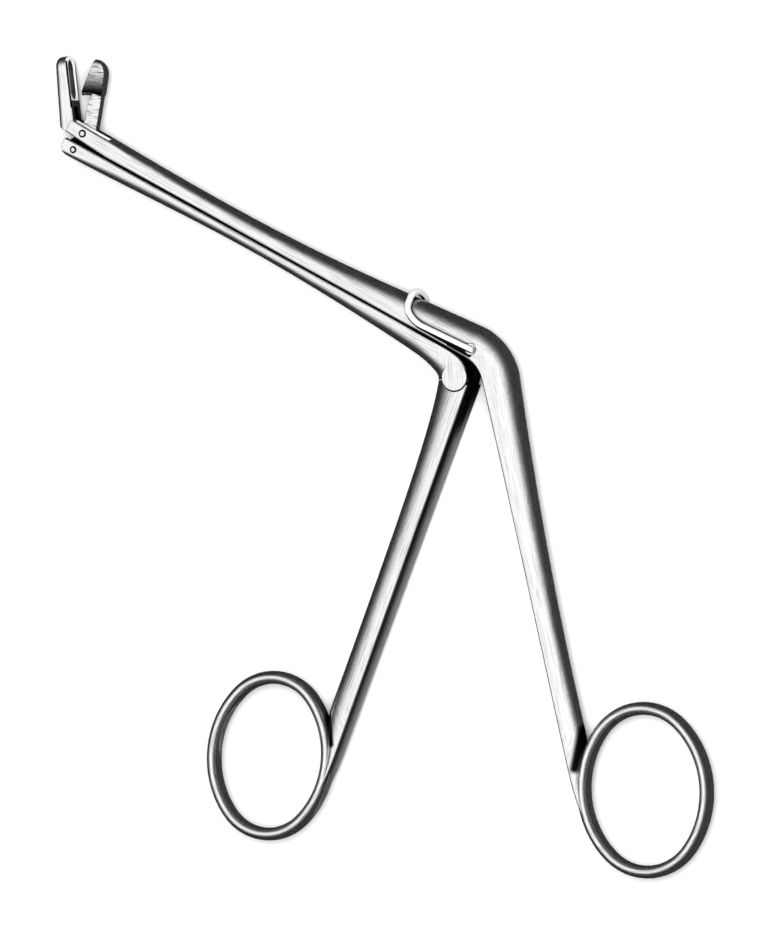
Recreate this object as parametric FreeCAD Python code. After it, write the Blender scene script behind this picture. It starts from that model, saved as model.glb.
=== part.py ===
import FreeCAD, Part
import math
import os

# Take-apart nasal punch forceps with a fenestrated jaw, drawn open and lying flat on its far side.
# The handle pivot is at X 0, Y 0. +X runs from the jaws along the shaft to the handles, +Y is the
# side to which the jaws are bent up, and +Z is the side that carries the keeper hook.
# Pieces are built about the plane halfway through the depth, and finish() lifts them so that the
# far cheek of the bend lies on Z 0. Lengths are millimetres and angles are degrees.

# Linkage: two bell cranks joined by the sliding rod.
PIVOT_SPACING = 100.0
HANDLE_ARM = 7.0
JAW_ARM = 4.0
ARM_LEAD = 6.3
FIXED_JAW_TILT = 34.0
OPEN_ANGLE = 30.0

# Fixed half: half-round shaft, bend and thumb handle in one forging.
PARTING_DROP = 2.05
BEND_TURN = 50.1
BEND_INNER_RADIUS = 7.5
BEND_START = -0.5
BEND_WIDTH = 7.8
BEND_HEIGHT = 6.7
BEND_SIDE_SHARE = 0.45
HANDLE_SIDE_SHARE = 0.3
SHAFT_NOSE_WIDTH = 4.6
SHAFT_NOSE_TOP = 1.95
NOSE_UNDERCUT = 0.7
NOSE_RELIEF_LENGTH = 10.0
THUMB_REACH = 90.75
THUMB_STAND = 15.29

# Sliding half: half-round rod and finger handle.
ROD_GAP = 0.35
ROD_TAPER_GAP = 0.15
ROD_NOSE_RADIUS = 2.55
ROD_NOSE_WIDTH = 4.4
ROD_END_RADIUS = 2.8
ROD_END_WIDTH = 7.2
SHOULDER_GAP = 0.25
SHOULDER_ANGLE = 212.0
FINGER_DIRECTION = -84.9
FINGER_FLAT_X = 2.65
FINGER_REACH = 88.77
FINGER_STAND = 14.42

# Rings.
RING_WALL = 2.7
RING_DEPTH = 4.6
FINGER_RING_WIDTH = 23.3
FINGER_RING_LENGTH = 30.0
FINGER_RING_LEAN = 16.0
THUMB_RING_WIDTH = 25.0
THUMB_RING_LENGTH = 31.3
THUMB_RING_LEAN = -8.0
RING_NECK = 15.0
NECK_RADIUS = 60.0
NECK_SEAT = 0.45
NECK_HEIGHT = 1.5
NECK_WIDTH = 4.3
EDGE_BREAK = 0.25

# Jaws.
JAW_WIDTH = 4.4
FIXED_RIM = 1.8
FIXED_THICKNESS = 2.75
FIXED_ROOT_THICKNESS = 3.55
FIXED_LENGTH = 16.6
FIXED_BACK_ROUND = 1.1
WINDOW_START = 7.75
WINDOW_END = 15.95
WINDOW_WIDTH = 3.1
WINDOW_GAP = 0.25
PUNCH_REACH = 4.0
NECK_FRONT = 1.7
ROOT_RADIUS = 2.0
ARM_END_RADIUS = 1.55
FACE_CUP_DEPTH = 1.0
FACE_CUP_RIM = 0.45

# Slots and the blades that run in them.
JAW_BLADE = 1.9
TONGUE_BLADE = 2.4
BLADE_GAP = 0.1
JAW_SLOT_BACK = 5.4
JAW_SLOT_FRONT = 3.0
JAW_SLOT_DEPTH = 1.5
JAW_SLOT_TOP = 6.0
TONGUE_RADIUS = 2.8
TONGUE_CLEARANCE = 0.4

# Rivets, pins and the keeper.
JAW_RIVET_RADIUS = 0.8
LINK_RIVET_RADIUS = 0.72
ROD_PIN_RADIUS = 1.0
PIVOT_PIN_RADIUS = 1.2
RUNNING_GAP = 0.04
SEAT_GAP = 0.01
LINK_PLAY = 0.15
RIVET_PROUD = 0.12
RIVET_CHAMFER = 0.3
BLIND_WALL = 1.3
KEEPER_WIRE_RADIUS = 0.68
KEEPER_GAP = 0.1
KEEPER_REACH = 17.0
KEEPER_SEAT = 5.95

Z = FreeCAD.Vector(0, 0, 1)
ORIGIN = FreeCAD.Vector(0, 0, 0)
THROUGH = 40.0
REST_HEIGHT = BEND_WIDTH / 2

JAW_PIVOT = FreeCAD.Vector(-PIVOT_SPACING, 0, 0)
PARTING_Y = -PARTING_DROP


def vec(x, y, z=0.0):
    return FreeCAD.Vector(x, y, z)


def heading(angle):
    """Unit vector in the plane at an angle from +X."""
    return vec(math.cos(math.radians(angle)), math.sin(math.radians(angle)))


def arm_end(pivot, length):
    """Far end of a crank arm that hangs from a pivot and leads towards the jaws."""
    return pivot + heading(-90.0 - ARM_LEAD) * length


ROD_LINK = arm_end(ORIGIN, HANDLE_ARM)
JAW_LINK = arm_end(JAW_PIVOT, JAW_ARM)


def d_section(base, angle, height, width, side):
    """Half-round outline: a flat along Z at base, broken edges, side walls, and a half-ellipse dome."""
    out = heading(angle)
    wall = height * side
    half = width / 2
    inner = half - EDGE_BREAK

    def spot(z, rise):
        return base + out * rise + Z * z

    dome = Part.BSplineCurve()
    dome.buildFromPolesMultsKnots(
        [spot(half, wall), spot(half, height), spot(0, height), spot(-half, height), spot(-half, wall)],
        [3, 2, 3], [0, 0.5, 1], False, 2, [1, math.sqrt(0.5), 1, math.sqrt(0.5), 1])
    return Part.Wire([
        Part.LineSegment(spot(-inner, 0), spot(inner, 0)).toShape(),
        Part.LineSegment(spot(inner, 0), spot(half, EDGE_BREAK)).toShape(),
        Part.LineSegment(spot(half, EDGE_BREAK), spot(half, wall)).toShape(),
        dome.toShape(),
        Part.LineSegment(spot(-half, wall), spot(-half, EDGE_BREAK)).toShape(),
        Part.LineSegment(spot(-half, EDGE_BREAK), spot(-inner, 0)).toShape()])


def half_round(stations):
    """Solid through half-round outlines, each as base, angle, height, width and side share."""
    return Part.makeLoft([d_section(*station) for station in stations], True, False)


def pin(centre, radius, low, high):
    """Cylinder along Z between two heights."""
    return Part.makeCylinder(radius, high - low, centre + Z * low, Z)


def plate(points, thickness):
    """Prism centred on the mid-plane, from an outline of corner points."""
    face = Part.Face(Part.makePolygon(points + [points[0]]))
    return face.extrude(Z * thickness).translated(Z * (-thickness / 2))


def placed(shape, angle, origin):
    """Turn a shape about Z and carry its origin to a point."""
    turned = shape.copy()
    turned.rotate(ORIGIN, Z, angle)
    turned.translate(origin)
    return turned


def finish(name, shape):
    """Lift one piece on to the surface and write it out."""
    solid = shape.removeSplitter()
    solid.translate(Z * REST_HEIGHT)
    solid.exportStep("parts/" + name + ".step")
    print(name, len(solid.Solids), solid.isValid(), round(solid.Volume, 2))


def oval(width, length):
    """Half sizes of a ring's centre line, and the radii of its end arcs and side arcs."""
    half_length = (length + RING_WALL) / 2
    half_width = (width + RING_WALL) / 2
    end = (3 * half_width ** 2 / half_length + half_width) / 4
    side = (half_length ** 2 + half_width ** 2 - 2 * half_length * end) / (2 * (half_width - end))
    return half_length, half_width, end, side


def wall_arc(centre, radius, start_angle, sweep):
    """One arc of a ring, with its oval wall."""
    away = heading(start_angle)
    spot = centre + away * radius
    outline = Part.Ellipse(spot + Z * (RING_DEPTH / 2), spot + away * (RING_WALL / 2), spot)
    return Part.Face(Part.Wire(outline.toShape())).revolve(centre, Z, sweep)


def ring(width, length, angle, centre):
    """Finger ring of four arcs, its long side at an angle from +X."""
    half_length, half_width, end, side = oval(width, length)
    meet = math.degrees(math.atan2(side - half_width, half_length - end))
    first = wall_arc(vec(half_length - end, 0), end, -meet, 2 * meet)
    rest = [wall_arc(vec(0, half_width - side), side, meet, 180 - 2 * meet),
            wall_arc(vec(end - half_length, 0), end, 180 - meet, 2 * meet),
            wall_arc(vec(0, side - half_width), side, 180 + meet, 180 - 2 * meet)]
    return placed(first.fuse(rest), angle, centre)


def outward(direction):
    """Side of a handle on which its dome and ring lie."""
    return heading(direction + 90.0 * handle_side(direction))


def handle_side(direction):
    return 1.0 if direction > -70.0 else -1.0


def bar_stations(start, direction, shape):
    """Half-round outlines along a handle, each given as distance, height, width."""
    ahead = heading(direction)
    angle = direction + 90.0 * handle_side(direction)
    return [(start + ahead * distance, angle, height, width, HANDLE_SIDE_SHARE)
            for distance, height, width in shape]


def ring_end(start, direction, reach, stand, size, lean, height, width):
    """Ring, with the last stretch of bar, which bends in to the ring and dies away in its wall."""
    hand = handle_side(direction)
    ahead = heading(direction)
    centre = start + ahead * reach + outward(direction) * stand
    half_length, half_width, end, broad = oval(*size)
    hub = centre + heading(direction + 90 * hand + lean) * (broad - half_width) - start
    run = hub.dot(ahead)
    rise = hub.dot(outward(direction))
    seat = broad + NECK_SEAT
    lead = math.sqrt((rise - seat) * (2 * NECK_RADIUS - rise - seat))
    turn = math.asin(lead / (NECK_RADIUS - seat))
    straight = run - lead - (reach - RING_NECK)
    whole = straight + NECK_RADIUS * turn
    middle = start + ahead * (run - lead) + outward(direction) * NECK_RADIUS
    stations = []
    for share, swell in [(0, 1), (0.13, 0.92), (0.25, 0.73), (0.5, 0.21), (0.72, 0.03), (1, 0)]:
        past = max(0.0, share * whole - straight) / NECK_RADIUS
        angle = direction + hand * (90 + math.degrees(past))
        back = max(0.0, straight - share * whole)
        stations.append((middle - heading(angle) * NECK_RADIUS - ahead * back, angle,
                         NECK_HEIGHT + (height - NECK_HEIGHT) * swell,
                         NECK_WIDTH + (width - NECK_WIDTH) * (1 - share), HANDLE_SIDE_SHARE))
    return half_round(stations).fuse(ring(*size, direction + lean, centre))


def bend():
    """Quarter of a half-round ring that turns the shaft down into the thumb handle."""
    centre = vec(BEND_START, PARTING_Y - BEND_INNER_RADIUS)
    section = Part.Face(d_section(centre + heading(90) * BEND_INNER_RADIUS, 90, BEND_HEIGHT,
                                  BEND_WIDTH, BEND_SIDE_SHARE))
    return section.revolve(centre, Z, -BEND_TURN)


def fixed_body():
    """Shaft, bend and thumb handle as one half-round bar."""
    nose_x = JAW_PIVOT.x - 3.6
    relief_end = nose_x + NOSE_RELIEF_LENGTH
    nose = half_round([
        (vec(nose_x, PARTING_Y + NOSE_UNDERCUT), 90, SHAFT_NOSE_TOP - PARTING_Y - NOSE_UNDERCUT,
         SHAFT_NOSE_WIDTH, 0.75),
        (vec(relief_end, PARTING_Y), 90, SHAFT_NOSE_TOP - PARTING_Y - 0.1, SHAFT_NOSE_WIDTH, 0.7)])
    slender = [(0.80, 3.55, 4.85, 0.5), (0.62, 3.35, 5.3, 0.38), (0.42, 3.8, 6.0, 0.35),
               (0.20, 5.2, 6.9, 0.38)]
    stations = [(vec(relief_end, PARTING_Y), 90, SHAFT_NOSE_TOP - PARTING_Y - 0.1, SHAFT_NOSE_WIDTH, 0.7)]
    stations += [(vec(-PIVOT_SPACING * share, PARTING_Y), 90, height, width, side)
                 for share, height, width, side in slender]
    stations.append((vec(BEND_START, PARTING_Y), 90, BEND_HEIGHT, BEND_WIDTH, BEND_SIDE_SHARE))
    shaft = half_round(stations)
    direction = -BEND_TURN
    start = vec(BEND_START, PARTING_Y - BEND_INNER_RADIUS) + heading(90 - BEND_TURN) * BEND_INNER_RADIUS
    lengths = [(20, 5.5, 6.6), (45, 4.6, 5.8), (THUMB_REACH - RING_NECK, 4.7, 5.1)]
    handle = half_round([(start, 90 - BEND_TURN, BEND_HEIGHT, BEND_WIDTH, BEND_SIDE_SHARE)]
                        + bar_stations(start, direction, lengths))
    loop = ring_end(start, direction, THUMB_REACH, THUMB_STAND, (THUMB_RING_WIDTH, THUMB_RING_LENGTH),
                    THUMB_RING_LEAN, 4.7, 5.1)
    return nose.fuse([shaft, bend(), handle, loop])


def jaw_frame(shape):
    """Carry a shape from the fixed jaw's own frame, with the jaw along +Y, to its place."""
    return placed(shape, FIXED_JAW_TILT, JAW_PIVOT)


def swept_window(inner, outer, width, start_angle, sweep):
    """Round-ended slot swept about the jaw pivot, in a jaw's own frame."""
    half = width / 2
    low = inner + half
    high = outer - half
    profile = Part.Wire([
        Part.LineSegment(vec(0, low, half), vec(0, high, half)).toShape(),
        Part.Arc(vec(0, high, half), vec(0, outer, 0), vec(0, high, -half)).toShape(),
        Part.LineSegment(vec(0, high, -half), vec(0, low, -half)).toShape(),
        Part.Arc(vec(0, low, -half), vec(0, inner, 0), vec(0, low, half)).toShape()])
    face = Part.Face(profile)
    face.rotate(ORIGIN, Z, start_angle)
    return face.revolve(ORIGIN, Z, sweep)


def fixed_jaw():
    """Fenestrated jaw bent up from the shaft, with the window that the punch enters."""
    half = JAW_WIDTH / 2
    tip = FIXED_LENGTH - half
    foot = -1.0

    def spot(y, z):
        taper = (FIXED_ROOT_THICKNESS - FIXED_THICKNESS) * (1 - y / FIXED_LENGTH)
        return vec(-FIXED_RIM - FIXED_THICKNESS - taper, y, z)

    outline = Part.Wire([
        Part.LineSegment(spot(foot, half), spot(tip, half)).toShape(),
        Part.Arc(spot(tip, half), spot(FIXED_LENGTH, 0), spot(tip, -half)).toShape(),
        Part.LineSegment(spot(tip, -half), spot(foot, -half)).toShape(),
        Part.LineSegment(spot(foot, -half), spot(foot, half)).toShape()])
    block = Part.Face(outline).extrude(vec(THROUGH, 0, 0))
    rounded = [edge for edge in block.Edges
               if edge.BoundBox.XMax < -FIXED_RIM - 2 and edge.BoundBox.YMax > foot + 1]
    block = block.makeFillet(FIXED_BACK_ROUND, rounded)
    block = block.cut(Part.makeBox(2 * THROUGH, THROUGH, THROUGH, vec(-FIXED_RIM, -THROUGH / 2, -THROUGH / 2)))
    block = block.cut(swept_window(WINDOW_START, WINDOW_END, WINDOW_WIDTH, 0, 50))
    jaw = jaw_frame(block)
    under = plate([
        JAW_PIVOT + vec(5, PARTING_Y + NOSE_UNDERCUT),
        JAW_PIVOT + vec(-3.6, PARTING_Y + NOSE_UNDERCUT),
        JAW_PIVOT + vec(-7, PARTING_Y + NOSE_UNDERCUT + 0.4),
        JAW_PIVOT + vec(-7, -8),
        JAW_PIVOT + vec(5, -8)], THROUGH)
    return jaw.cut(under)


def jaw_slot():
    """Slot for the moving jaw's root, through the shaft and a little way up the fixed jaw."""
    width = JAW_BLADE + 2 * BLADE_GAP
    through = Part.makeBox(JAW_SLOT_FRONT + JAW_SLOT_BACK, THROUGH, width,
                           JAW_PIVOT + vec(-JAW_SLOT_FRONT, -THROUGH / 2, -width / 2))
    groove = Part.makeBox(FIXED_RIM + JAW_SLOT_DEPTH, JAW_SLOT_TOP - 1.5, width,
                          vec(-FIXED_RIM - JAW_SLOT_DEPTH, 1.5, -width / 2))
    return through.fuse(jaw_frame(groove))


def tongue_slot():
    """Slot in the bend for the finger handle's tongue."""
    width = TONGUE_BLADE + 2 * BLADE_GAP
    radius = TONGUE_RADIUS + TONGUE_CLEARANCE
    eye = pin(ORIGIN, radius, -width / 2, width / 2)
    mouth = plate([vec(-radius, 0), vec(-radius, -THROUGH / 4), vec(radius + 4, -THROUGH / 4),
                   vec(radius + 2.2, PARTING_Y), vec(radius, 0)], width)
    return eye.fuse(mouth)


def fixed_shaft():
    body = fixed_body().fuse(fixed_jaw())
    body = body.cut(jaw_slot())
    body = body.cut(tongue_slot())
    body = body.cut(pin(JAW_PIVOT, JAW_RIVET_RADIUS + SEAT_GAP, -THROUGH, THROUGH))
    return body.cut(pin(ORIGIN, PIVOT_PIN_RADIUS + RUNNING_GAP, -THROUGH, THROUGH))


def jaw_slab(width):
    """Punch head, neck and root as a plate in the moving jaw's own frame, rim to the left."""
    back = Part.BSplineCurve()
    back.interpolate([vec(-PUNCH_REACH, 15.7), vec(-3.2, 15.35), vec(-1.85, 14.65), vec(-0.9, 13.6),
                      vec(-0.35, 12.1), vec(0.3, 9.2), vec(1.15, 5.5), vec(ROOT_RADIUS, 1.6)])
    front = Part.makePolygon([
        vec(ROOT_RADIUS, 1.6), vec(ROOT_RADIUS, 0), vec(-ROOT_RADIUS + 0.6, 0), vec(-1.0, 3.2),
        vec(-NECK_FRONT, 4.4), vec(-NECK_FRONT, 7.0), vec(-PUNCH_REACH, 7.0), vec(-PUNCH_REACH, 15.7)])
    face = Part.Face(Part.Wire([back.toShape()] + front.Edges))
    return face.extrude(Z * width).translated(Z * (-width / 2))


def moving_jaw():
    """Bell crank: punch head, neck, root on the jaw pivot and short arm to the rod."""
    head_width = WINDOW_WIDTH - 2 * WINDOW_GAP
    swept = swept_window(WINDOW_START + WINDOW_GAP + 0.05, WINDOW_END - WINDOW_GAP - 0.05, head_width, -30, 80)
    head = jaw_slab(head_width).common(swept)
    cup = swept_window(WINDOW_START + WINDOW_GAP + FACE_CUP_RIM + 0.3,
                       WINDOW_END - WINDOW_GAP - FACE_CUP_RIM - 0.3,
                       head_width - 2 * FACE_CUP_RIM, -20, 70)
    pocket = Part.makeBox(FACE_CUP_DEPTH, THROUGH, THROUGH,
                          vec(-PUNCH_REACH, -THROUGH / 2, -THROUGH / 2))
    head = head.cut(cup.common(pocket))
    neck = jaw_slab(JAW_BLADE).common(pin(ORIGIN, WINDOW_END - 2, -THROUGH, THROUGH))
    neck = neck.cut(Part.makeBox(PUNCH_REACH, THROUGH, THROUGH,
                                 vec(-NECK_FRONT - PUNCH_REACH, -THROUGH / 2, -THROUGH / 2)))
    body = placed(head.fuse(neck), FIXED_JAW_TILT - OPEN_ANGLE, JAW_PIVOT)
    half = JAW_BLADE / 2
    across = heading(-ARM_LEAD)
    arm = plate([JAW_PIVOT - across * ROOT_RADIUS, JAW_LINK - across * ARM_END_RADIUS,
                 JAW_LINK + across * ARM_END_RADIUS, JAW_PIVOT + across * ROOT_RADIUS], JAW_BLADE)
    body = body.fuse([arm, pin(JAW_PIVOT, ROOT_RADIUS, -half, half), pin(JAW_LINK, ARM_END_RADIUS, -half, half)])
    body = body.cut(pin(JAW_PIVOT, JAW_RIVET_RADIUS + RUNNING_GAP, -THROUGH, THROUGH))
    return body.cut(pin(JAW_LINK, LINK_RIVET_RADIUS + LINK_PLAY, -THROUGH, THROUGH))


def rod_body():
    """Half-round rod, with its flat next to the shaft and its rear end turned down to the handle."""
    rear_y = PARTING_Y - ROD_GAP
    front_y = rear_y - ROD_TAPER_GAP
    front_x = JAW_LINK.x - ROD_NOSE_RADIUS - 1.5
    shares = [(0.965, 3.4, ROD_NOSE_WIDTH, 0.6), (0.87, 3.15, 4.7, 0.4), (0.73, 2.7, 5.0, 0.35),
              (0.55, 2.45, 5.4, 0.35), (0.38, 2.9, 5.9, 0.35), (0.22, 3.8, 6.5, 0.35), (0.12, 4.6, 6.9, 0.4)]
    stations = [(vec(front_x, front_y), -90, 3.45, ROD_NOSE_WIDTH, 0.7)]
    for share, height, width, side in shares:
        base_y = rear_y + (front_y - rear_y) * share
        stations.append((vec(-PIVOT_SPACING * share, base_y), -90, height, width, side))
    stations.append((ROD_LINK + vec(-5.7, 4.55), -118, 5.7, ROD_END_WIDTH, 0.5))
    stations.append((ROD_LINK + vec(-1.4, 4.2), -129, 7.0, ROD_END_WIDTH, 0.5))
    last = ROD_LINK + heading(SHOULDER_ANGLE - 180) * ROD_END_RADIUS
    stations.append((last, SHOULDER_ANGLE, ROD_END_RADIUS + 4.9, ROD_END_WIDTH, 0.5))
    half = ROD_END_WIDTH / 2 - SEAT_GAP
    return half_round(stations).fuse(pin(ROD_LINK, ROD_END_RADIUS, -half, half))


def sliding_rod():
    centre = JAW_LINK + vec(-0.35, 0.4)
    keep = pin(centre, ROD_NOSE_RADIUS, -THROUGH, THROUGH).fuse(
        Part.makeBox(2 * PIVOT_SPACING, THROUGH, 2 * THROUGH, centre + vec(0, -THROUGH / 2, -THROUGH)))
    body = rod_body().common(keep)
    fork_width = JAW_BLADE + 2 * BLADE_GAP
    fork = Part.makeBox(8, THROUGH, fork_width, JAW_LINK + vec(-5, -THROUGH / 2, -fork_width / 2))
    rear_width = TONGUE_BLADE + 2 * BLADE_GAP
    rear = Part.makeBox(THROUGH, THROUGH, rear_width,
                        ROD_LINK + vec(-TONGUE_RADIUS - 1.2, -THROUGH / 2, -rear_width / 2))
    body = body.cut(fork)
    body = body.cut(rear)
    body = body.cut(pin(JAW_LINK, LINK_RIVET_RADIUS + SEAT_GAP, -THROUGH, THROUGH))
    return body.cut(pin(ROD_LINK, ROD_PIN_RADIUS + SEAT_GAP, -THROUGH, ROD_END_WIDTH / 2 - BLIND_WALL))


def shoulder_cutter():
    """Room for the rod's rear end in the top of the finger handle, either side of the tongue."""
    slope = heading(SHOULDER_ANGLE)
    lift = heading(SHOULDER_ANGLE + 90) * SHOULDER_GAP
    wedge = plate([ROD_LINK + lift, ROD_LINK + slope * 12 + lift, ROD_LINK + vec(-12, 12),
                   ROD_LINK + vec(12, 12), ROD_LINK + vec(12, 0.0), ROD_LINK], THROUGH)
    whole = wedge.fuse(pin(ROD_LINK, ROD_END_RADIUS + SHOULDER_GAP, -THROUGH, THROUGH))
    keep = plate([vec(-THROUGH, -THROUGH), vec(THROUGH, -THROUGH), vec(THROUGH, THROUGH),
                  vec(-THROUGH, THROUGH)], TONGUE_BLADE)
    return whole.cut(keep)


def front_handle():
    """Half-round finger handle with its ring and the tongue that carries both pivots."""
    start = vec(FINGER_FLAT_X, ROD_LINK.y - 0.1)
    side = FINGER_DIRECTION - 90
    lengths = [(8, 6.75, 6.8), (28, 5.7, 6.1), (52, 5.4, 5.5), (FINGER_REACH - RING_NECK, 5.35, 5.0)]
    stations = [(start, side + 14, 7.9, 7.1, HANDLE_SIDE_SHARE)]
    stations += bar_stations(start, FINGER_DIRECTION, lengths)
    loop = ring_end(start, FINGER_DIRECTION, FINGER_REACH, FINGER_STAND,
                    (FINGER_RING_WIDTH, FINGER_RING_LENGTH), FINGER_RING_LEAN, 5.35, 5.0)
    bar = half_round(stations).fuse(loop)
    bar = bar.cut(shoulder_cutter())
    half = TONGUE_BLADE / 2
    tongue = plate([vec(-TONGUE_RADIUS, 0), vec(-TONGUE_RADIUS - 0.2, ROD_LINK.y), vec(-3.2, -12),
                    vec(FINGER_FLAT_X, -12), vec(FINGER_FLAT_X, ROD_LINK.y), vec(TONGUE_RADIUS, 0)],
                   TONGUE_BLADE)
    body = bar.fuse([tongue, pin(ORIGIN, TONGUE_RADIUS, -half, half)])
    body = body.cut(pin(ORIGIN, PIVOT_PIN_RADIUS + RUNNING_GAP, -THROUGH, THROUGH))
    return body.cut(pin(ROD_LINK, ROD_PIN_RADIUS + RUNNING_GAP, -half - 1, half + 1))


def rivet(centre, radius, length):
    """Rivet dressed almost flush, with a chamfer round each end."""
    low = -length / 2 - RIVET_PROUD
    body = pin(centre, radius, low, -low)
    return body.makeChamfer(RIVET_CHAMFER, [edge for edge in body.Edges if edge.Closed and edge.Length < 8])


def jaw_pivot_rivet():
    return rivet(JAW_PIVOT, JAW_RIVET_RADIUS, SHAFT_NOSE_WIDTH)


def jaw_link_rivet():
    return rivet(JAW_LINK, LINK_RIVET_RADIUS, ROD_NOSE_WIDTH)


def rod_link_pin():
    """Pin pressed in from the far side, blind on the near side."""
    return pin(ROD_LINK, ROD_PIN_RADIUS, -ROD_END_WIDTH / 2, ROD_END_WIDTH / 2 - BLIND_WALL - 0.05)


def handle_pivot_pin():
    """Removable pin: flush with the far cheek, and under the keeper's lever on the near one."""
    return pin(ORIGIN, PIVOT_PIN_RADIUS, -BEND_WIDTH / 2, BEND_WIDTH / 2 + KEEPER_GAP)


def keeper_hook():
    """Spring-wire lever along the near cheek, curled up over the shaft and down its far side."""
    level = BEND_WIDTH / 2 + KEEPER_GAP + KEEPER_WIRE_RADIUS
    crest = PARTING_Y + KEEPER_SEAT + KEEPER_WIRE_RADIUS
    tail = REST_HEIGHT - KEEPER_WIRE_RADIUS - KEEPER_GAP
    reach = -KEEPER_REACH
    points = [vec(0.4, 0, level), vec(reach + 3.8, -0.7, level), vec(reach + 0.4, 0.9, level - 0.3),
              vec(reach - 0.6, crest - 0.5, level - 2.2), vec(reach - 0.5, crest + 0.1, 0),
              vec(reach + 0.1, crest - 0.5, -2.2), vec(reach + 0.5, crest - 1.3, -tail)]
    return wire_sweep(points, KEEPER_WIRE_RADIUS)


def wire_sweep(points, radius):
    """Round wire along straight runs joined by tangent arcs, with rounded ends."""
    edges = []
    start = points[0]
    for before, corner, after in zip(points, points[1:], points[2:]):
        into = (corner - before).normalize()
        out = (after - corner).normalize()
        turn = math.acos(max(-1.0, min(1.0, into.dot(out))))
        run = min((corner - before).Length, (after - corner).Length) * 0.45
        first = corner - into * run
        last = corner + out * run
        bend_radius = run / math.tan(turn / 2)
        middle = (first + last) * 0.5
        towards = (corner - middle).normalize()
        sagitta = bend_radius * (1 - math.cos(turn / 2))
        if (first - start).Length > 1e-6:
            edges.append(Part.LineSegment(start, first).toShape())
        edges.append(Part.Arc(first, middle + towards * sagitta, last).toShape())
        start = last
    edges.append(Part.LineSegment(start, points[-1]).toShape())
    path = Part.Wire(edges)
    direction = (points[1] - points[0]).normalize()
    profile = Part.Wire(Part.makeCircle(radius, points[0], direction))
    tube = path.makePipeShell([profile], True, True)
    return tube.fuse([Part.makeSphere(radius, points[0]), Part.makeSphere(radius, points[-1])])


os.makedirs("parts", exist_ok=True)
finish("fixed_shaft", fixed_shaft())
finish("jaw_pivot_rivet", jaw_pivot_rivet())
finish("moving_jaw", moving_jaw())
finish("jaw_link_rivet", jaw_link_rivet())
finish("sliding_rod", sliding_rod())
finish("rod_link_pin", rod_link_pin())
finish("front_handle", front_handle())
finish("handle_pivot_pin", handle_pivot_pin())
finish("keeper_hook", keeper_hook())
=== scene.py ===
"""Looks of a pair of take-apart nasal punch forceps, lying open on a pale studio floor.

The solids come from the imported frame, each on its own body. This script gives each one its finish
and adds the floor, the light and the camera. Lengths are metres unless a comment says otherwise.
"""

import logging
import math
from dataclasses import dataclass
from typing import ClassVar

import bpy
from mathutils import Matrix, Vector

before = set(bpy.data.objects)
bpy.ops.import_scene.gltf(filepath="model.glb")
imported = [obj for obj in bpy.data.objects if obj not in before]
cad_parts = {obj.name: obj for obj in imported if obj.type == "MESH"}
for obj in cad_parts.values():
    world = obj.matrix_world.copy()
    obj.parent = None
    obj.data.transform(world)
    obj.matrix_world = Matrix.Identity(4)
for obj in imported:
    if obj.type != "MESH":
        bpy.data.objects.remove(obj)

MM = 0.001
MID_PLANE = 3.9 * MM
LOG = logging.getLogger("forceps")

Socket = bpy.types.NodeSocket
Value = float | tuple[float, ...] | Socket
Point = tuple[float, float]
Range = tuple[float, float]


def heading(angle: float) -> tuple[float, float, float]:
    """Unit vector in the plane of the forceps, at an angle from +X in degrees."""
    return (math.cos(math.radians(angle)), math.sin(math.radians(angle)), 0.0)


def grey(level: float) -> tuple[float, float, float, float]:
    """Opaque grey colour of a level."""
    return (level, level, level, 1.0)


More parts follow.
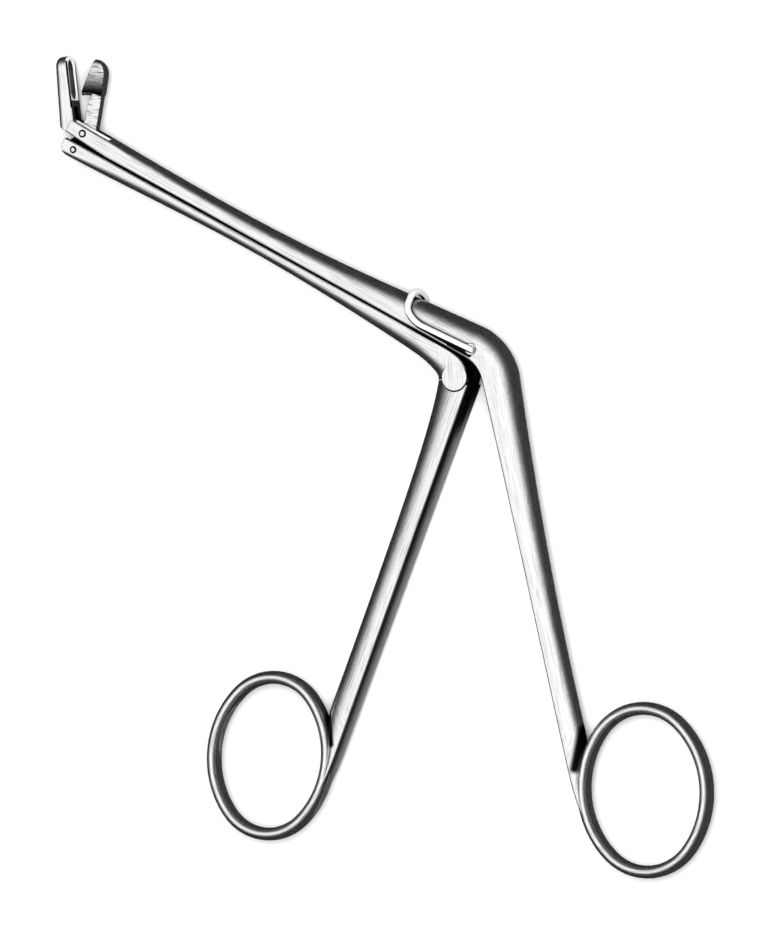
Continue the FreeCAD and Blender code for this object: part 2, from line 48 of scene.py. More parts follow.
class NodeGraph:
    """Short calls for building a shader out of nodes."""

    def __init__(self, tree: bpy.types.NodeTree) -> None:
        """Empty a node tree and keep it.

        Args:
            tree: The tree to build in.
        """
        self.tree = tree
        tree.nodes.clear()

    def add(self, kind: str, inputs: dict[str | int, Value] | None = None,
            **settings: object) -> bpy.types.Node:
        """Add one node.

        Args:
            kind: The node's type name.
            inputs: What goes into its sockets, by name or number: values, or other nodes' outputs.
            settings: The node's own properties.

        Returns:
            The new node.
        """
        node = self.tree.nodes.new(kind)
        for name, value in settings.items():
            setattr(node, name, value)
        for key, value in (inputs or {}).items():
            self.feed(node.inputs[key], value)
        return node

    def along(self, vector: Value, direction: tuple[float, ...]) -> Socket:
        """Size of a vector's part along a direction."""
        node = self.add("ShaderNodeVectorMath", {0: vector, 1: direction}, operation="DOT_PRODUCT")
        return node.outputs["Value"]

    def level(self, place: Socket) -> Socket:
        """A position without its height."""
        flat = {0: place, 1: (1.0, 1.0, 0.0)}
        return self.add("ShaderNodeVectorMath", flat, operation="MULTIPLY").outputs[0]

    def height(self, place: Socket) -> Socket:
        """Height of a position."""
        return self.add("ShaderNodeSeparateXYZ", {0: place}).outputs[2]

    def feed(self, socket: Socket, value: Value) -> None:
        """Link an output to a socket, or set the socket's own value.

        Args:
            socket: The socket.
            value: The output, or the value.
        """
        if isinstance(value, bpy.types.NodeSocket):
            self.tree.links.new(value, socket)
        else:
            socket.default_value = value

    def math(self, operation: str, *values: Value) -> Socket:
        """One arithmetic step, as a new Math node.

        Args:
            operation: The name of the operation, such as ADD.
            values: Its operands.

        Returns:
            The result's socket.
        """
        return self.add("ShaderNodeMath", dict(enumerate(values)), operation=operation).outputs[0]

    def span(self, value: Value, low: float, high: float, to_low: float = 0.0,
             to_high: float = 1.0) -> Socket:
        """Carry a value smoothly from one range to another, held at the ends.

        Args:
            value: What is carried over.
            low: The start of its range.
            high: The end of its range.
            to_low: The result at the start.
            to_high: The result at the end.

        Returns:
            The result's socket.
        """
        inputs = {0: value, 1: low, 2: high, 3: to_low, 4: to_high}
        node = self.add("ShaderNodeMapRange", inputs, interpolation_type="SMOOTHSTEP", clamp=True)
        return node.outputs[0]

    def blend(self, factor: Value, first: Value, second: Value) -> Socket:
        """Mix two numbers by a factor."""
        return self.add("ShaderNodeMix", {0: factor, 2: first, 3: second}, data_type="FLOAT").outputs[0]

    def tint(self, factor: Value, first: Value, second: Value) -> Socket:
        """Mix two colours by a factor."""
        inputs = {0: factor, 6: first, 7: second}
        return self.add("ShaderNodeMix", inputs, data_type="RGBA").outputs[2]


class Grain:
    """A stretch of a piece whose buffing lines run one way."""

    def coordinates(self, graph: NodeGraph, place: Socket) -> Socket:
        """Position as a distance along the lines, across them and up.

        Args:
            graph: The shader being built.
            place: The position in the frame.

        Returns:
            A vector socket.
        """
        raise NotImplementedError

    def mask(self, graph: NodeGraph, place: Socket) -> Socket:
        """How far a position is inside the stretch, from 0 to 1.

        Args:
            graph: The shader being built.
            place: The position in the frame.

        Returns:
            A number socket.
        """
        raise NotImplementedError


@dataclass(frozen=True)
class StraightGrain(Grain):
    """Lines that run straight along a bar.

    Attributes:
        angle: Direction of the lines in the plane, in degrees from +X.
        start: A point where the stretch begins.
        facing: Direction from that point into the stretch, in degrees.
        soft: How far the change from the stretch before it takes.
    """

    angle: float = 0.0
    start: Point = (0.0, 0.0)
    facing: float = 0.0
    soft: float = 6 * MM

    def coordinates(self, graph: NodeGraph, place: Socket) -> Socket:
        """Position turned so that its first part runs along the lines."""
        turn = (0.0, 0.0, -math.radians(self.angle))
        return graph.add("ShaderNodeMapping", {"Vector": place, "Rotation": turn}).outputs[0]

    def mask(self, graph: NodeGraph, place: Socket) -> Socket:
        """How far a position is past the start, from 0 to 1.

        Args:
            graph: The shader being built.
            place: The position in the frame.

        Returns:
            A number socket.
        """
        direction = heading(self.facing)
        edge = self.start[0] * direction[0] + self.start[1] * direction[1]
        depth = graph.along(place, direction)
        return graph.span(depth, edge - self.soft / 2, edge + self.soft / 2)


@dataclass(frozen=True)
class RingGrain(Grain):
    """Lines that run round a ring's opening.

    Attributes:
        centre: Middle of the ring.
        reach: Radius within which the lines hold.
        soft: How far the change at that radius takes.
    """

    centre: Point
    reach: float
    soft: float = 6 * MM

    def coordinates(self, graph: NodeGraph, place: Socket) -> Socket:
        """Position as a distance round the ring, from its centre and up.

        Args:
            graph: The shader being built.
            place: The position in the frame.

        Returns:
            A vector socket.
        """
        centre = (-self.centre[0], -self.centre[1], 0.0)
        moved = graph.add("ShaderNodeMapping", {"Vector": place, "Location": centre}).outputs[0]
        parts = graph.add("ShaderNodeSeparateXYZ", {0: moved}).outputs
        bearing = graph.math("ARCTAN2", parts[1], parts[0])
        along = graph.math("MULTIPLY", bearing, self.reach)
        radius = graph.math("SQRT", graph.math("ADD", graph.math("POWER", parts[0], 2.0),
                                               graph.math("POWER", parts[1], 2.0)))
        return graph.add("ShaderNodeCombineXYZ", {0: along, 1: radius, 2: parts[2]}).outputs[0]

    def mask(self, graph: NodeGraph, place: Socket) -> Socket:
        """How far a position is inside the reach, from 0 to 1.

        Args:
            graph: The shader being built.
            place: The position in the frame.

        Returns:
            A number socket.
        """
        ends = {0: graph.level(place), 1: (*self.centre, 0.0)}
        gap = graph.add("ShaderNodeVectorMath", ends, operation="DISTANCE").outputs["Value"]
        return graph.span(gap, self.reach + self.soft, self.reach)


@dataclass(frozen=True)
class ShadedFlat:
    """Flat side of a half-round bar with painted shade: dark along one edge, paler along the other.

    Attributes:
        facing: Direction that the flat faces, in degrees from +X.
        low: Height of its far edge.
        high: Height of its near edge.
        far_tone: Grey along the far edge.
        near_tone: Grey along the near edge.
        gleam: How metallic the flat looks.
        streak: How far a line shifts the change between the two greys.
        shade_to: Distance from the handle pivot up to which painted shade makes it black.
        shade_gone: Distance from that pivot at which that painted shade is gone.
        shade_share: Share of the grey that the painted shade leaves.
        turned: How squarely a surface faces that way, where the flat begins and where it is full.
    """

    facing: float
    low: float = 1.3 * MM
    high: float = 6.3 * MM
    far_tone: float = 0.42
    near_tone: float = 0.008
    gleam: float = 0.35
    streak: float = 3.5 * MM
    shade_to: float = 9 * MM
    shade_gone: float = 22.5 * MM
    shade_share: float = 0.02
    turned: ClassVar[Range] = (0.93, 0.98)

    def mask(self, graph: NodeGraph, normal: Socket) -> Socket:
        """Where the surface faces the flat's way, as a number from 0 to 1."""
        return graph.span(graph.along(normal, heading(self.facing)), *self.turned)

    def tone(self, graph: NodeGraph, place: Socket, lines: Socket) -> Socket:
        """Painted shade of the flat, from the far edge's grey to the near edge's, black near the handle
        pivot, with its coarse lines.

        Args:
            graph: The shader being built.
            place: The position in the frame.
            lines: The buffing lines.

        Returns:
            A number socket.
        """
        streaks = graph.math("SUBTRACT", lines, 0.5)
        streaked = graph.math("MULTIPLY_ADD", streaks, self.streak, graph.height(place))
        tone = graph.span(streaked, self.low, self.high, self.far_tone, self.near_tone)
        away = graph.add("ShaderNodeVectorMath", {0: place}, operation="LENGTH").outputs["Value"]
        return graph.math("MULTIPLY", tone, graph.span(away, self.shade_to, self.shade_gone, self.shade_share, 1.0))


@dataclass(frozen=True, kw_only=True)
class Shade:
    """A place where light or shade is painted into the metal's colour.

    Attributes:
        tone: Grey of the place.
        gleam: How metallic it looks.
    """

    tone: float = 0.008
    gleam: float = 1.0

    def mask(self, graph: NodeGraph, place: Socket, normal: Socket) -> Socket:
        """How strong the colour is at a point of the surface, from 0 to 1.

        Args:
            graph: The shader being built.
            place: The point's position in the frame.
            normal: The surface's direction there.

        Returns:
            A number socket.
        """
        raise NotImplementedError

    def beside(self, graph: NodeGraph, place: Socket, level: float) -> Socket:
        """Distance of a position above or below a level."""
        return graph.math("ABSOLUTE", graph.math("SUBTRACT", graph.height(place), level))


@dataclass(frozen=True, kw_only=True)
class PaintedStrip(Shade):
    """Painted shade or painted highlight round a line, such as a slot's edge or a pivot's link.

    Attributes:
        start: One end of the line, in the plane of the forceps.
        end: Its other end.
        reach: Distance from the line within which the colour is full.
        soft: Further distance over which it fades.
        level: Height of the middle of the place.
        half: Distance from that level up to which it goes.
    """

    start: Point
    end: Point
    reach: float
    soft: float = 0.5 * MM
    level: float = MID_PLANE
    half: float = 5 * MM

    def mask(self, graph: NodeGraph, place: Socket, normal: Socket) -> Socket:
        """How strong the colour is at a point, by its distance from the line.

        Args:
            graph: The shader being built.
            place: The point's position in the frame.
            normal: The surface's direction there.

        Returns:
            A number socket.
        """
        start = Vector((*self.start, 0.0))
        line = Vector((*self.end, 0.0)) - start
        ends = {0: graph.level(place), 1: tuple(start)}
        away = graph.add("ShaderNodeVectorMath", ends, operation="SUBTRACT").outputs[0]
        along = graph.along(away, tuple(line / line.length_squared))
        share = graph.math("MINIMUM", graph.math("MAXIMUM", along, 0.0), 1.0)
        reached = {0: tuple(line), "Scale": share}
        foot = graph.add("ShaderNodeVectorMath", reached, operation="SCALE").outputs[0]
        gap = graph.add("ShaderNodeVectorMath", {0: away, 1: foot}, operation="DISTANCE").outputs["Value"]
        near = graph.span(gap, self.reach, self.reach + self.soft, 1.0, 0.0)
        within = graph.math("LESS_THAN", self.beside(graph, place, self.level), self.half)
        return graph.math("MULTIPLY", near, within)


@dataclass(frozen=True, kw_only=True)
class ShadedSide(Shade):
    """Painted shade along one side of a wire.

    Attributes:
        facing: Direction that the side faces.
        turned: How squarely the wire faces that way, where the painted shade begins and where it is full.
    """

    facing: tuple[float, float, float] = (0.0, -0.975, 0.22)
    turned: ClassVar[Range] = (0.45, 0.8)

    def mask(self, graph: NodeGraph, place: Socket, normal: Socket) -> Socket:
        """How strong the painted shade is, by the way the wire faces."""
        return graph.span(graph.along(normal, self.facing), *self.turned)


@dataclass(frozen=True, kw_only=True)
class ShadedBite(Shade):
    """Painted shade on the punch, deepest at its heel and gone at its tip.

    Attributes:
        heel: A point at the heel.
        along: Direction from the heel to the tip, in degrees from +X.
        reach: Distance over which the colour fades.
        level: Height of the middle of the punch.
        side: Distance of the punch's faces from that middle, beyond those of the neck.
    """

    heel: Point = (-104.4 * MM, 7.6 * MM)
    along: float = 112.0
    reach: float = 6 * MM
    level: float = MID_PLANE
    side: float = 1.1 * MM

    def mask(self, graph: NodeGraph, place: Socket, normal: Socket) -> Socket:
        """How strong the colour is at a point, by its distance from the heel.

        Args:
            graph: The shader being built.
            place: The point's position in the frame.
            normal: The surface's direction there.

        Returns:
            A number socket.
        """
        direction = heading(self.along)
        start = self.heel[0] * direction[0] + self.heel[1] * direction[1]
        fade = graph.span(graph.along(place, direction), start, start + self.reach, 1.0, 0.0)
        beside = self.beside(graph, place, self.level)
        return graph.math("MULTIPLY", fade, graph.math("GREATER_THAN", beside, self.side))


@dataclass(frozen=True)
class BuffedSteel:
    """Nickel-bright steel with fine buffing lines, faint handling marks and painted shade in its seams.

    Attributes:
        name: Name of the material.
        tone: Grey of the metal outside the painted shade.
        shade_tone: Grey of the painted shade in seams and slots, and of a rivet's painted dark rim.
        polish: Lowest roughness.
        haze: How much rougher the dullest places are.
        line_width: Width of a buffing line.
        line_length: Length of a buffing line.
        line_depth: Height of the relief of the lines.
        line_shade: Share of the tone that is left at the bottom of a line.
        edge_round: Radius to which the edges are worn.
        seam_reach: How far from a seam the painted shade and the extra roughness reach.
        gleam: How metallic the surface looks.
        shaded_rim: Whether everything but the faces across the pivots gets painted shade, as a dark rim
            round a rivet's head.
        flat: The flat side with its painted shade, if there is one.
        shades: Places with painted shade, painted shadows or painted highlights.
        zones: Stretches with their own direction of the lines.
        clean_and_unshaded_at: Openness of a place, where the painted shade and the extra roughness begin to
            go and where they are gone.
        line_tones: Level of the lines up to which their shade is full, and from which the tone is.
        line_haze: Level of the lines at which they begin to roughen and are roughest.
        cloud_haze: Level of the handling marks at which they begin to roughen and are roughest.
        cloud_scale: How many handling marks a metre holds.
        seam_haze: How much rougher a seam is.
        across: How squarely a face lies across the pivots, where the painted shade of a rivet's rim begins
            to end and is gone.
        seam_samples: How many rays look for a seam.
        edge_samples: How many rays wear an edge.
    """

    name: str
    tone: tuple[float, float, float] = (0.80, 0.80, 0.795)
    shade_tone: tuple[float, float, float] = (0.008, 0.008, 0.008)
    polish: float = 0.18
    haze: float = 0.12
    line_width: float = 0.24 * MM
    line_length: float = 7 * MM
    line_depth: float = 0.012 * MM
    line_shade: float = 0.72
    edge_round: float = 0.22 * MM
    seam_reach: float = 5.0 * MM
    gleam: float = 0.95
    shaded_rim: bool = False
    flat: ShadedFlat | None = None
    shades: tuple[Shade, ...] = ()
    zones: tuple[Grain, ...] = (StraightGrain(),)
    clean_and_unshaded_at: ClassVar[Range] = (0.38, 0.82)
    line_tones: ClassVar[Range] = (0.34, 0.52)
    line_haze: ClassVar[Range] = (0.35, 0.7)
    cloud_haze: ClassVar[Range] = (0.4, 0.7)
    cloud_scale: ClassVar[float] = 90.0
    seam_haze: ClassVar[float] = 0.25
    across: ClassVar[Range] = (0.8, 0.95)
    seam_samples: ClassVar[int] = 8
    edge_samples: ClassVar[int] = 6

    def lines(self, graph: NodeGraph, place: Socket) -> Socket:
        """Buffing lines of every stretch, as one number from 0 to 1.

        Args:
            graph: The shader being built.
            place: The position in the frame.

        Returns:
            A number socket.
        """
        stretch = (1 / self.line_length, 1 / self.line_width, 1 / self.line_width)
        total: Socket | None = None
        for zone in self.zones:
            factors = {0: zone.coordinates(graph, place), 1: stretch}
            scaled = graph.add("ShaderNodeVectorMath", factors, operation="MULTIPLY").outputs[0]
            noise = graph.add("ShaderNodeTexNoise", {
                "Vector": scaled, "Scale": 1.0, "Detail": 3.0, "Roughness": 0.6}).outputs[0]
            total = noise if total is None else graph.blend(zone.mask(graph, place), total, noise)
        return total

    def colour(self, graph: NodeGraph, normal: Socket, lines: Socket, clean_and_unshaded: Socket) -> Socket:
        """Colour of the metal, with its lines, painted shade in its seams and a rivet's painted dark rim.

        Args:
            graph: The shader being built.
            normal: The surface's direction.
            lines: The buffing lines.
            clean_and_unshaded: How clean and free of painted shade a place is, from 0 to 1.

        Returns:
            A colour socket.
        """
        shaded = (*[self.line_shade * level for level in self.tone], 1.0)
        lined = graph.tint(graph.span(lines, *self.line_tones), shaded, (*self.tone, 1.0))
        colour = graph.tint(clean_and_unshaded, (*self.shade_tone, 1.0), lined)
        if not self.shaded_rim:
            return colour
        across = graph.math("ABSOLUTE", graph.height(normal))
        return graph.tint(graph.span(across, *self.across), (*self.shade_tone, 1.0), colour)

    def roughness(self, graph: NodeGraph, place: Socket, lines: Socket, clean_and_unshaded: Socket) -> Socket:
        """Roughness of the metal, from its lines, handling marks and seams.

        Args:
            graph: The shader being built.
            place: The position in the frame.
            lines: The buffing lines.
            clean_and_unshaded: How clean and free of painted shade a place is, from 0 to 1.

        Returns:
            A number socket.
        """
        clouds = graph.add("ShaderNodeTexNoise", {
            "Vector": place, "Scale": self.cloud_scale, "Detail": 4.0}).outputs[0]
        haze = graph.math("ADD", graph.math("MULTIPLY", graph.span(lines, *self.line_haze), 0.5),
                          graph.math("MULTIPLY", graph.span(clouds, *self.cloud_haze), 0.5))
        dulled = graph.math("MULTIPLY", graph.math("SUBTRACT", 1.0, clean_and_unshaded), self.seam_haze)
        return graph.math("ADD", graph.math("MULTIPLY_ADD", haze, self.haze, self.polish), dulled)

    def build(self) -> bpy.types.Material:
        """Make the material.

        Returns:
            The material.
        """
        material = bpy.data.materials.new(self.name)
        material.use_nodes = True
        graph = NodeGraph(material.node_tree)
        where = graph.add("ShaderNodeTexCoord")
        place, normal = where.outputs["Object"], where.outputs["Normal"]
        lines = self.lines(graph, place)
        # Painted shade: ambient occlusion darkens the colour in seams and slots and wherever other surfaces
        # are near; the same mask makes the metal rougher there.
        seam = graph.add("ShaderNodeAmbientOcclusion", {"Distance": self.seam_reach},
                         samples=self.seam_samples)
        clean_and_unshaded = graph.span(seam.outputs["AO"], *self.clean_and_unshaded_at)
        colour = self.colour(graph, normal, lines, clean_and_unshaded)
        rough = self.roughness(graph, place, lines, clean_and_unshaded)
        worn = graph.add("ShaderNodeBevel", {"Radius": self.edge_round},
                         samples=self.edge_samples).outputs[0]
        relief = graph.add("ShaderNodeBump", {
            "Height": lines, "Distance": self.line_depth, "Strength": 1.0, "Normal": worn})
        gleam: Value = self.gleam
        # Painted shade on the flat sides, graded across their height and near black by the handle pivot.
        if self.flat is not None:
            flat_shade = self.flat.mask(graph, normal)
            colour = graph.tint(flat_shade, colour, self.flat.tone(graph, place, lines))
            gleam = graph.blend(flat_shade, gleam, self.flat.gleam)
        # Painted shade, painted shadows and painted highlights, one place after another.
        for shade in self.shades:
            share = shade.mask(graph, place, normal)
            colour = graph.tint(share, colour, grey(shade.tone))
            gleam = graph.blend(share, gleam, shade.gleam)
        shader = graph.add("ShaderNodeBsdfPrincipled", {
            "Base Color": colour, "Roughness": rough, "Metallic": gleam, "Normal": relief.outputs[0]})
        graph.add("ShaderNodeOutputMaterial", {"Surface": shader.outputs[0]})
        return material


# Rivets and the link pin: painted shade turns every face but the heads near black, a dark rim round each
# head.
RIVET_FINISH = BuffedSteel("dressed_rivet_steel", polish=0.2, line_width=0.1 * MM, line_length=1 * MM,
                           seam_reach=0.6 * MM, shaded_rim=True)


def dress(node: str, finish: bpy.types.Material) -> None:
    """Give a carried-over solid its finish.

    Args:
        node: Name of the CAD node.
        finish: The material.
    """
    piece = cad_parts[node]
    piece.data.materials.clear()
    piece.data.materials.append(finish)
    LOG.info("%s: %s", node, finish.name)


@dataclass
class ShaftHalf:
    """Shaft, bend, thumb handle with its ring, fixed jaw, and the rivet of the moving jaw.

    Attributes:
        handle_angle: Direction of the thumb handle, in degrees from +X.
        jaw_angle: Direction of the fixed jaw.
        jaw_foot: Where the fixed jaw leaves the shaft.
        jaw_soft: How far the change of the lines takes there.
        bend_place: Middle of the bend.
        bend_soft: How far the change of the lines takes there.
        flat: The flat underside, with its painted shade.
        ring_centre: Middle of the thumb ring.
        ring_reach: Radius within which the ring's lines run round it.
        window_rim: Painted highlight along the rim of the jaw's window.
        rim_line: Painted shade in a thin line along that rim, on the near face.
        slot_edge: Painted highlight along the edge of the moving jaw's slot.
        notch: Painted shade at the end of the handle's round side, at the ring.
        lever_shadow: Painted shadow of the keeper's lever on the shaft.
        pin_shadow: More of that painted shadow, near the pin.
    """

    handle_angle: float = -50.1
    jaw_angle: float = 124.0
    jaw_foot: Point = (-100 * MM, 2 * MM)
    jaw_soft: float = 1.5 * MM
    bend_place: Point = (2 * MM, -4 * MM)
    bend_soft: float = 8 * MM
    flat: ShadedFlat = ShadedFlat(-90.0, far_tone=0.02)
    ring_centre: Point = (75.2 * MM, -64.55 * MM)
    ring_reach: float = 19 * MM
    # Painted highlights, painted shade and the lever's painted shadow on the shaft half.
    window_rim: PaintedStrip = PaintedStrip(start=(-105.74 * MM, 5.29 * MM), end=(-110.61 * MM, 12.51 * MM),
                            reach=0.3 * MM, soft=0.1 * MM, half=1.8 * MM, tone=0.9, gleam=0.0)
    rim_line: PaintedStrip = PaintedStrip(start=(-104.8 * MM, 3.9 * MM), end=(-110.7 * MM, 12.6 * MM),
                          reach=0.2 * MM, soft=0.08 * MM, level=6 * MM, half=0.3 * MM)
    slot_edge: PaintedStrip = PaintedStrip(start=(-101.6 * MM, 2.0 * MM), end=(-94.9 * MM, 2.1 * MM), reach=0.9 * MM,
                           soft=0.3 * MM, level=5.45 * MM, half=0.36 * MM, tone=0.9, gleam=0.0)
    notch: PaintedStrip = PaintedStrip(start=(57.4 * MM, -59.5 * MM), end=(59.7 * MM, -67.4 * MM),
                       reach=0.35 * MM, soft=1.2 * MM)
    lever_shadow: PaintedStrip = PaintedStrip(start=(-13 * MM, -1.3 * MM), end=(0.2 * MM, -1.35 * MM),
                             reach=0.2 * MM, soft=0.15 * MM, level=8 * MM, half=1 * MM)
    pin_shadow: PaintedStrip = PaintedStrip(start=(-5 * MM, -1.3 * MM), end=(0.4 * MM, -1.3 * MM),
                           reach=0.36 * MM, soft=0.15 * MM, level=8 * MM, half=1 * MM)

    def dress(self) -> None:
        """Buff the forging along each of its stretches, and finish the rivet."""
        zones = (
            StraightGrain(),
            StraightGrain(self.jaw_angle, self.jaw_foot, self.jaw_angle, self.jaw_soft),
            StraightGrain(self.handle_angle, self.bend_place, self.handle_angle / 2, self.bend_soft),
            RingGrain(self.ring_centre, self.ring_reach),
        )
        shades = (self.window_rim, self.rim_line, self.slot_edge, self.notch, self.lever_shadow,
                  self.pin_shadow)
        finish = BuffedSteel("buffed_shaft_half", zones=zones, flat=self.flat, shades=shades)
        dress("fixed_shaft", finish.build())
        dress("jaw_pivot_rivet", RIVET_FINISH.build())


@dataclass
class HandleHalf:
    """Finger handle with its tongue and ring.

    Attributes:
        handle_angle: Direction of the handle, in degrees from +X.
        ring_centre: Middle of the finger ring.
        ring_reach: Radius within which the ring's lines run round it.
        tongue: Painted shade on the tongue between its two pivots, down in the slot.
        notch: Painted shade at the end of the handle's round side, at the ring.
    """

    handle_angle: float = -84.9
    ring_centre: Point = (-3.82 * MM, -96.76 * MM)
    ring_reach: float = 18 * MM
    # Painted shade on the tongue and at the ring's notch.
    tongue: PaintedStrip = PaintedStrip(start=(0.5 * MM, -3 * MM), end=(0.5 * MM, -7 * MM),
                        reach=5.5 * MM, soft=8 * MM, half=1.3 * MM)
    notch: PaintedStrip = PaintedStrip(start=(4.9 * MM, -83.2 * MM), end=(8.1 * MM, -88 * MM),
                       reach=0.3 * MM, soft=0.7 * MM)

    def dress(self) -> None:
        """Buff the handle along its length and the ring round its opening."""
        zones = (StraightGrain(self.handle_angle), RingGrain(self.ring_centre, self.ring_reach))
        flat = ShadedFlat(self.handle_angle + 90)
        finish = BuffedSteel("buffed_handle_half", zones=zones, flat=flat,
                             shades=(self.tongue, self.notch))
        dress("front_handle", finish.build())


@dataclass
class RodHalf:
    """Sliding rod with the two pins that it carries.

    Attributes:
        rear_place: Where the rod turns down to its rear end.
        rear_angle: Direction of the lines on that end, in degrees from +X.
        rear_facing: Direction from the turn towards the end.
        rear_soft: How far the change of the lines takes.
        flat: The flat top, with its painted shade.
    """

    rear_place: Point = (-6 * MM, -4 * MM)
    rear_angle: float = -60.0
    rear_facing: float = -30.0
    rear_soft: float = 5 * MM
    flat: ShadedFlat = ShadedFlat(90.0, far_tone=0.02)

    def dress(self) -> None:
        """Buff the rod along its length and finish its pins."""
        rear = StraightGrain(self.rear_angle, self.rear_place, self.rear_facing, self.rear_soft)
        finish = BuffedSteel("buffed_rod", zones=(StraightGrain(), rear), flat=self.flat)
        dress("sliding_rod", finish.build())
        dress("jaw_link_rivet", RIVET_FINISH.build())
        dress("rod_link_pin", RIVET_FINISH.build())


@dataclass
class PunchJaw:
    """Moving jaw, with its lines across the neck as a file leaves them.

    Attributes:
        line_angle: Direction of the lines, in degrees from +X.
        bite: Painted shade on the punch.
        arm: Painted shade on the arm below the pivot.
    """

    line_angle: float = 22.0
    # Painted shade on the punch's heel and on the arm below the pivot.
    bite: ShadedBite = ShadedBite()
    arm: PaintedStrip = PaintedStrip(start=(-100.3 * MM, -2.6 * MM), end=(-100.6 * MM, -5 * MM), reach=2.2 * MM)

    def dress(self) -> None:
        """File the jaw across its neck and paint shade on the punch and on the arm below the pivot."""
        finish = BuffedSteel("filed_punch_jaw", line_width=0.3 * MM, line_length=2.4 * MM,
                             line_depth=0.06 * MM, line_shade=0.25, seam_reach=2.5 * MM,
                             shades=(self.bite, self.arm), zones=(StraightGrain(self.line_angle),))
        dress("moving_jaw", finish.build())


@dataclass
class Keeper:
    """Handle pivot pin and the spring-wire hook that keeps it in.

    Attributes:
        side_shade: Painted shade along the lower side of the wire.
    """

    # Painted shade along the wire's lower side.
    side_shade: ShadedSide = ShadedSide()

    def dress(self) -> None:
        """Finish the drawn wire and the pin."""
        wire = BuffedSteel("drawn_spring_wire", tone=(0.93, 0.93, 0.93), polish=0.34, haze=0.08,
                           line_width=0.12 * MM, line_shade=0.95, edge_round=0.02 * MM,
                           seam_reach=0.5 * MM, gleam=0.25, shades=(self.side_shade,))
        dress("keeper_hook", wire.build())
        pin = BuffedSteel("dressed_pin_steel", line_width=0.1 * MM, line_length=1 * MM,
                          seam_reach=0.3 * MM)
        dress("handle_pivot_pin", pin.build())


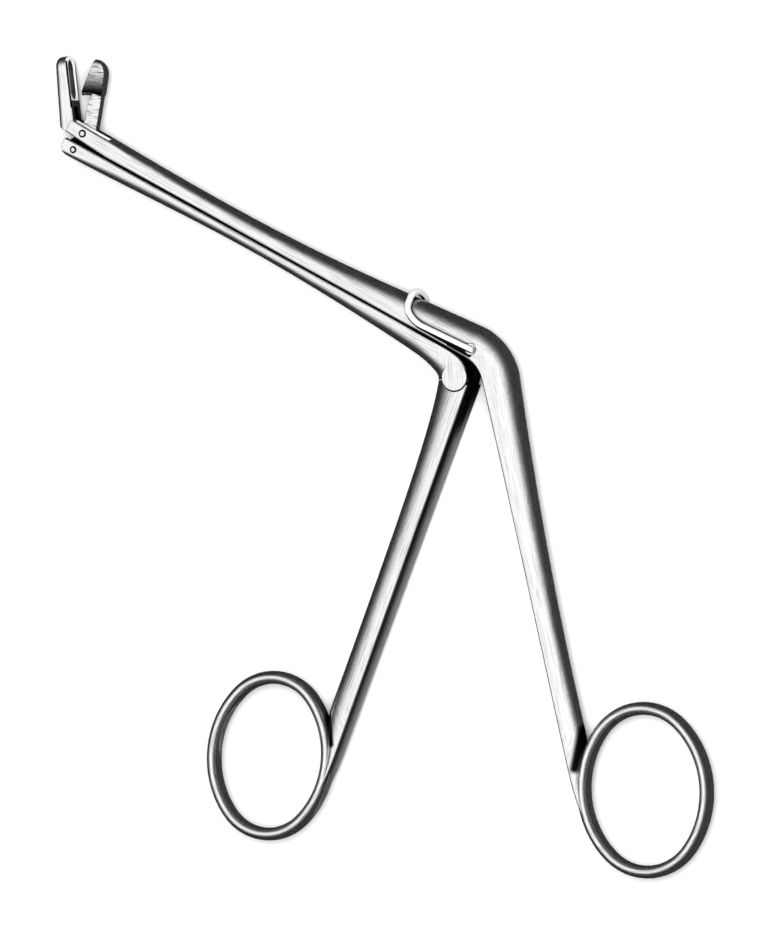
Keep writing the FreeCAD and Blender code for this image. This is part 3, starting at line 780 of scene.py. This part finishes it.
@dataclass
class Studio:
    """Pale floor, soft dome, one soft box and the camera at the drawing's angle.

    Attributes:
        tilt: Angle of the line of sight from straight down, in degrees.
        turn: How far the object is turned in the picture, in degrees.
        target: Point of the object at the middle of the picture.
        view_height: Height of the picture on the object.
        distance: Distance of the camera.
        shift: Small shift of the frame, as a share of its long side.
        sensor: Length of the sensor's long side, in millimetres.
        floor_radius: Radius of the round floor.
        floor_tones: Darkest and palest grey of the floor.
        key_place: Where the soft box hangs.
        key_size: Length of its side.
        key_power: Its power in watts.
        dome: Brightness of the dome by height, from its lowest point to its highest.
        backdrop_tone: Grey that the camera sees past the floor.
        contrast: Blender's name for the picture's contrast.
    """

    tilt: float = 24.0
    turn: float = 26.8
    target: tuple[float, float, float] = (-8.24 * MM, -31.54 * MM, MID_PLANE)
    view_height: float = 194.5 * MM
    distance: float = 7.4
    shift: tuple[float, float] = (0.0011, -0.0009)
    sensor: float = 36.0
    floor_radius: float = 20.0
    floor_tones: Range = (0.93, 0.95)
    key_place: tuple[float, float, float] = (0.45, 0.3, 1.3)
    key_size: float = 1.2
    key_power: float = 19.0
    dome: tuple[tuple[float, float], ...] = (
        (0.0, 0.04), (0.12, 0.02), (0.35, 0.006), (0.5, 0.004), (0.65, 0.05),
        (0.75, 0.20), (0.85, 0.52), (0.93, 0.95), (1.0, 1.12))
    backdrop_tone: float = 0.93
    contrast: str = "Medium High Contrast"

    def floor(self) -> None:
        """Lay the floor that the forceps rest on."""
        bpy.ops.mesh.primitive_circle_add(vertices=96, radius=self.floor_radius, fill_type="NGON")
        floor = bpy.context.object
        floor.name = "studio_floor"
        floor.visible_glossy = False
        material = bpy.data.materials.new("matt_white_board")
        material.use_nodes = True
        graph = NodeGraph(material.node_tree)
        place = graph.add("ShaderNodeTexCoord").outputs["Object"]
        fibre = graph.add("ShaderNodeTexNoise", {"Vector": place, "Scale": 400.0, "Detail": 2.0}).outputs[0]
        colour = graph.tint(fibre, *[grey(tone) for tone in self.floor_tones])
        shader = graph.add("ShaderNodeBsdfPrincipled", {"Base Color": colour, "Roughness": 1.0})
        graph.add("ShaderNodeOutputMaterial", {"Surface": shader.outputs[0]})
        floor.data.materials.append(material)

    def sky(self) -> None:
        """Make the soft dome, dark near the horizon so that round steel gets dark edges."""
        world = bpy.data.worlds.new("soft_dome")
        world.use_nodes = True
        bpy.context.scene.world = world
        graph = NodeGraph(world.node_tree)
        direction = graph.add("ShaderNodeTexCoord").outputs["Generated"]
        share = graph.math("MULTIPLY_ADD", graph.height(direction), 0.5, 0.5)
        ramp = graph.add("ShaderNodeValToRGB", {0: share})
        elements = ramp.color_ramp.elements
        while len(elements) < len(self.dome):
            elements.new(0.5)
        for element, (position, level) in zip(elements, self.dome):
            element.position = position
            element.color = grey(level)
        seen = graph.add("ShaderNodeLightPath").outputs["Is Camera Ray"]
        colour = graph.tint(seen, ramp.outputs[0], grey(self.backdrop_tone))
        light = graph.add("ShaderNodeBackground", {"Color": colour, "Strength": 1.0})
        graph.add("ShaderNodeOutputWorld", {"Surface": light.outputs[0]})

    def soft_box(self) -> None:
        """Hang the square soft box, aimed at the object and not seen in its gloss."""
        light = bpy.data.lights.new("key_box", "AREA")
        light.shape = "SQUARE"
        light.size = self.key_size
        light.energy = self.key_power
        holder = bpy.data.objects.new("key_box", light)
        holder.visible_glossy = False
        bpy.context.scene.collection.objects.link(holder)
        holder.location = self.key_place
        aim = Vector(self.target) - Vector(self.key_place)
        holder.rotation_euler = aim.to_track_quat("-Z", "Y").to_euler()

    def camera(self) -> None:
        """Set the camera square on to the drawing's picture plane."""
        tilt = math.radians(self.tilt)
        turn = math.radians(self.turn)
        back = Vector((math.sin(tilt) * math.cos(turn), math.sin(tilt) * math.sin(turn), math.cos(tilt)))
        up = Vector((-math.sin(turn), math.cos(turn), 0.0))
        right = up.cross(back)
        lens = bpy.data.cameras.new("drawing_view")
        lens.sensor_width = self.sensor
        lens.lens = self.sensor * self.distance / self.view_height
        lens.clip_end = 5 * self.distance
        lens.shift_x, lens.shift_y = self.shift
        camera = bpy.data.objects.new("drawing_view", lens)
        bpy.context.scene.collection.objects.link(camera)
        turned = Matrix((right, up, back)).transposed().to_4x4()
        place = Vector(self.target) + back * self.distance
        camera.matrix_world = Matrix.Translation(place) @ turned
        bpy.context.scene.camera = camera

    def build(self) -> None:
        """Set up the whole studio."""
        self.floor()
        self.sky()
        self.soft_box()
        self.camera()
        bpy.context.scene.view_settings.view_transform = "Standard"
        bpy.context.scene.view_settings.look = self.contrast


def main() -> None:
    """Dress the forceps and set up the studio."""
    logging.basicConfig(level=logging.INFO, format="%(name)s %(message)s")
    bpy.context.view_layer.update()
    for part in (ShaftHalf(), HandleHalf(), RodHalf(), PunchJaw(), Keeper()):
        part.dress()
    Studio().build()


if __name__ == "__main__":
    main()
